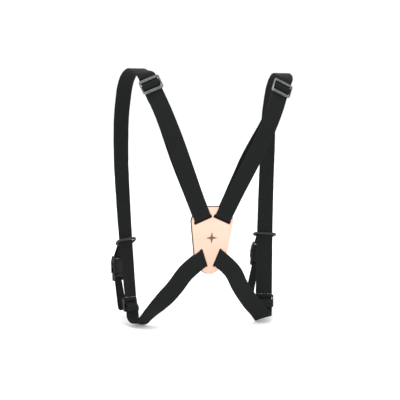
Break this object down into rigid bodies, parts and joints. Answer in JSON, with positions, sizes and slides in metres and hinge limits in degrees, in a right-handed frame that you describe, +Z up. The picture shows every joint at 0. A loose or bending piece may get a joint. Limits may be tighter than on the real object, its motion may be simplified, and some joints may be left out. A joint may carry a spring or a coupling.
{
  "type": "x-back optics harness",
  "caption": "Adjustable X-back carrying harness: leather back plate, webbing loops, sliding adjusters, chest rings and quick-release drops.",
  "frame": {"origin": "middle of the back pad's inner face, which rests on the wearer's back", "axes": "+X to the wearer's right, +Y the way the wearer faces, +Z up"},
  "size_m": [0.2553, 0.1144, 0.3714],
  "materials": {
    "leather": "natural light tan, fine grain",
    "pad": "dark brown, matte",
    "webbing": "flat woven, matte",
    "narrow_webbing": "flat woven, matte",
    "grey_metal": "satin",
    "black_ring": "satin black",
    "black_plastic": "fine satin"
  },
  "bodies": {
    "back": {"leather_plate": "leather", "back_pad": "pad", "left_outer_back_web": "webbing", "left_inner_back_web": "webbing", "left_shoulder_web": "webbing", "left_lower_front_web": "webbing", "left_lower_outer_web": "webbing", "left_lower_inner_web": "webbing", "right_outer_back_web": "webbing", "right_inner_back_web": "webbing", "right_shoulder_web": "webbing", "right_lower_front_web": "webbing", "right_lower_outer_web": "webbing", "right_lower_inner_web": "webbing"},
    "left_upper_adjuster": {"left_upper_adjuster": "grey_metal", "left_upper_bight": "webbing", "left_upper_tail_loop": "webbing"},
    "left_lower_adjuster": {"left_lower_adjuster": "black_ring", "left_lower_bight": "webbing", "left_lower_tail_loop": "webbing"},
    "left_chest_ring": {"left_chest_ring": "black_ring"},
    "left_drop": {"left_drop_web": "narrow_webbing", "left_buckle_socket": "black_plastic"},
    "left_plug": {"left_buckle_plug": "black_plastic", "left_lug_web": "narrow_webbing"},
    "left_rear_latch": {"left_rear_latch_arm": "black_plastic"},
    "left_front_latch": {"left_front_latch_arm": "black_plastic"},
    "right_upper_adjuster": {"right_upper_adjuster": "grey_metal", "right_upper_bight": "webbing", "right_upper_tail_loop": "webbing"},
    "right_lower_adjuster": {"right_lower_adjuster": "black_ring", "right_lower_bight": "webbing", "right_lower_tail_loop": "webbing"},
    "right_chest_ring": {"right_chest_ring": "black_ring"},
    "right_drop": {"right_drop_web": "narrow_webbing", "right_buckle_socket": "black_plastic"},
    "right_plug": {"right_buckle_plug": "black_plastic", "right_lug_web": "narrow_webbing"},
    "right_rear_latch": {"right_rear_latch_arm": "black_plastic"},
    "right_front_latch": {"right_front_latch_arm": "black_plastic"}
  },
  "joints": [
    {"name": "left_upper_adjuster_slide", "type": "slide", "parent": "back", "child": "left_upper_adjuster", "axis": [0.3995, -0.0385, -0.9159], "range_m": [0, 0.12], "deforming": ["left_outer_back_web", "left_inner_back_web"]},
    {"name": "left_lower_adjuster_slide", "type": "slide", "parent": "back", "child": "left_lower_adjuster", "axis": [-0.06, 0.29, 0.9551], "range_m": [0, 0.04], "deforming": ["left_lower_front_web"]},
    {"name": "left_ring_slide", "type": "slide", "parent": "back", "child": "left_chest_ring", "axis": [-0.0549, 0.2524, 0.9661], "range_m": [-0.03, 0.03]},
    {"name": "left_drop_swing", "type": "hinge", "parent": "left_chest_ring", "child": "left_drop", "pos_m": [-0.11455, 0.0668, -0.01978], "axis": [0.8842, 0.4668, -0.0176], "range_deg": [-10, 90]},
    {"name": "left_plug_slide", "type": "slide", "parent": "left_drop", "child": "left_plug", "axis": [0.0415, -0.1159, -0.9924], "range_m": [0, 0.017]},
    {"name": "left_rear_latch_hinge", "type": "hinge", "parent": "left_plug", "child": "left_rear_latch", "pos_m": [-0.12172, 0.07301, -0.06744], "axis": [-0.4653, 0.8767, -0.1219], "range_deg": [0, 15]},
    {"name": "left_front_latch_hinge", "type": "hinge", "parent": "left_plug", "child": "left_front_latch", "pos_m": [-0.11182, 0.07824, -0.06764], "axis": [-0.4653, 0.8767, -0.1219], "range_deg": [-15, 0]},
    {"name": "right_upper_adjuster_slide", "type": "slide", "parent": "back", "child": "right_upper_adjuster", "axis": [-0.3995, -0.0385, -0.9159], "range_m": [0, 0.12], "deforming": ["right_outer_back_web", "right_inner_back_web"]},
    {"name": "right_lower_adjuster_slide", "type": "slide", "parent": "back", "child": "right_lower_adjuster", "axis": [0.06, 0.29, 0.9551], "range_m": [0, 0.04], "deforming": ["right_lower_front_web"]},
    {"name": "right_ring_slide", "type": "slide", "parent": "back", "child": "right_chest_ring", "axis": [0.0553, 0.2538, 0.9657], "range_m": [-0.03, 0.03]},
    {"name": "right_drop_swing", "type": "hinge", "parent": "right_chest_ring", "child": "right_drop", "pos_m": [0.10438, 0.07316, -0.01227], "axis": [0.9961, -0.0676, -0.0573], "range_deg": [-10, 90]},
    {"name": "right_plug_slide", "type": "slide", "parent": "right_drop", "child": "right_plug", "axis": [-0.0572, 0.0039, -0.9984], "range_m": [0, 0.017]},
    {"name": "right_rear_latch_hinge", "type": "hinge", "parent": "right_plug", "child": "right_rear_latch", "pos_m": [0.10172, 0.09339, -0.05451], "axis": [0.0677, 0.9977, 0], "range_deg": [0, 15]},
    {"name": "right_front_latch_hinge", "type": "hinge", "parent": "right_plug", "child": "right_front_latch", "pos_m": [0.11287, 0.09263, -0.05515], "axis": [0.0677, 0.9977, 0], "range_deg": [-15, 0]}
  ],
  "couplings": [
    {"joint": "left_rear_latch_hinge", "follows": "left_plug_slide", "rad_per_m": 15.1},
    {"joint": "left_front_latch_hinge", "follows": "left_plug_slide", "rad_per_m": -15.1},
    {"joint": "right_rear_latch_hinge", "follows": "right_plug_slide", "rad_per_m": 15.1},
    {"joint": "right_front_latch_hinge", "follows": "right_plug_slide", "rad_per_m": -15.1}
  ]
}
